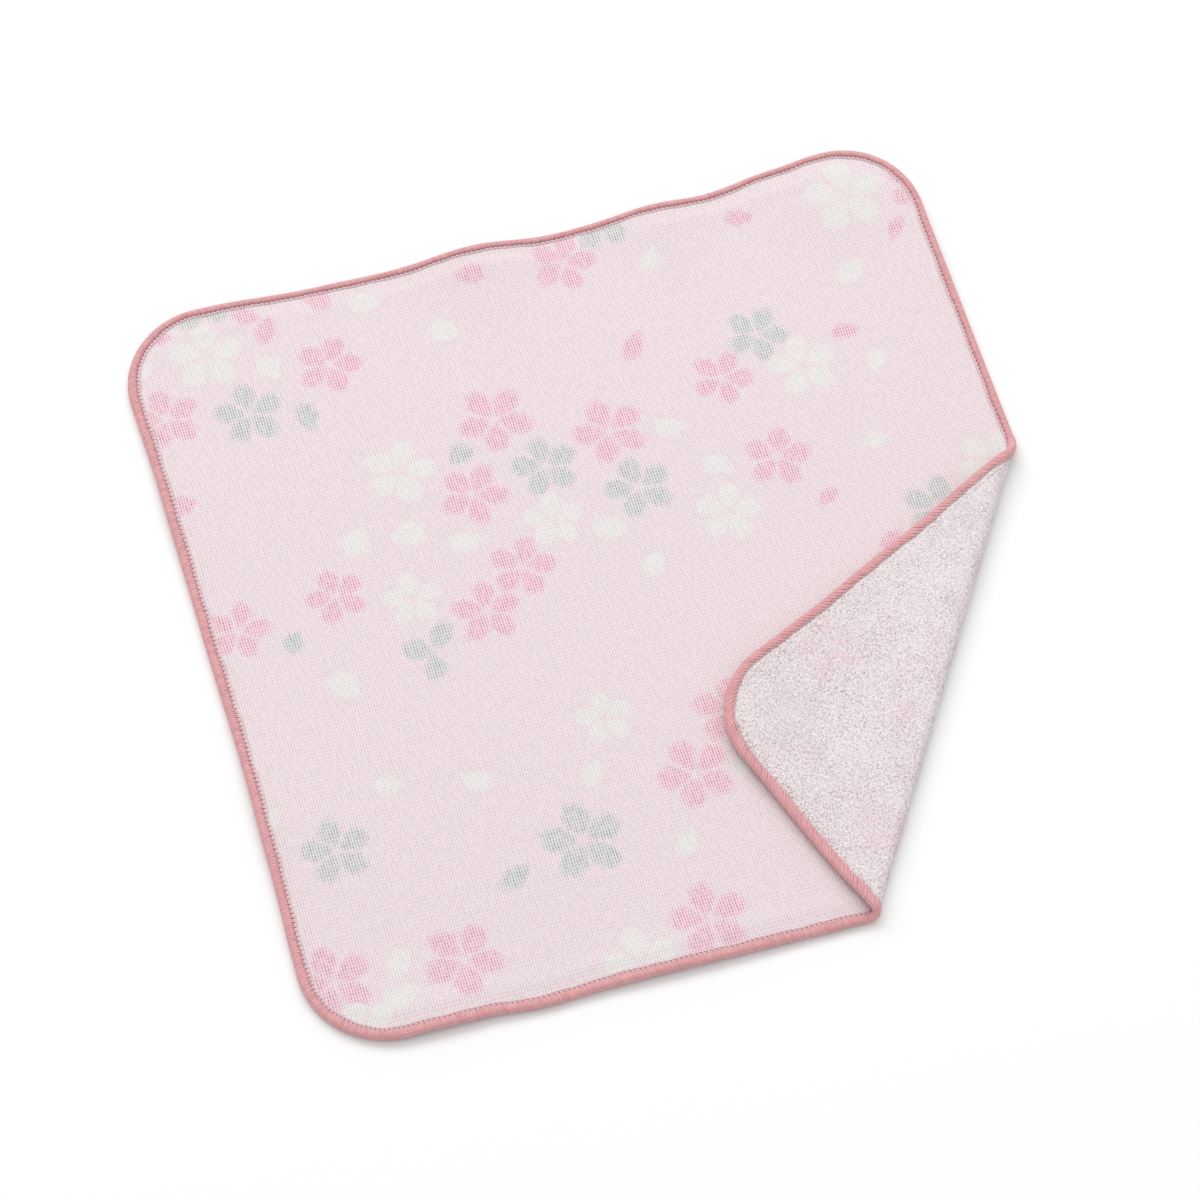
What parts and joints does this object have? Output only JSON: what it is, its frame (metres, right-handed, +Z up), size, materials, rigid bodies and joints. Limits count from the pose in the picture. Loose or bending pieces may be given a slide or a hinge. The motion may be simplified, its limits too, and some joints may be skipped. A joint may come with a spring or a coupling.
{
  "type": "folded towel handkerchief",
  "caption": "Square double-faced cotton towel handkerchief with rounded corners and an overlocked edging, lying flat with a corner turned over.",
  "frame": {"origin": "the middle of the flat cloth's underside, on the surface that it lies on", "axes": "+Z up, through the cloth; +X along the lower edge to the right; +Y towards the upper edge"},
  "size_m": [0.2508, 0.2533, 0.0087],
  "materials": {
    "cloth": "pale pink cotton gauze with a scattered blossom print on the front, white terry loops on the back",
    "edging": "salmon pink overlocked thread, matt"
  },
  "bodies": {
    "root": {"cloth": "cloth", "edging": "edging"}
  },
  "joints": []
}
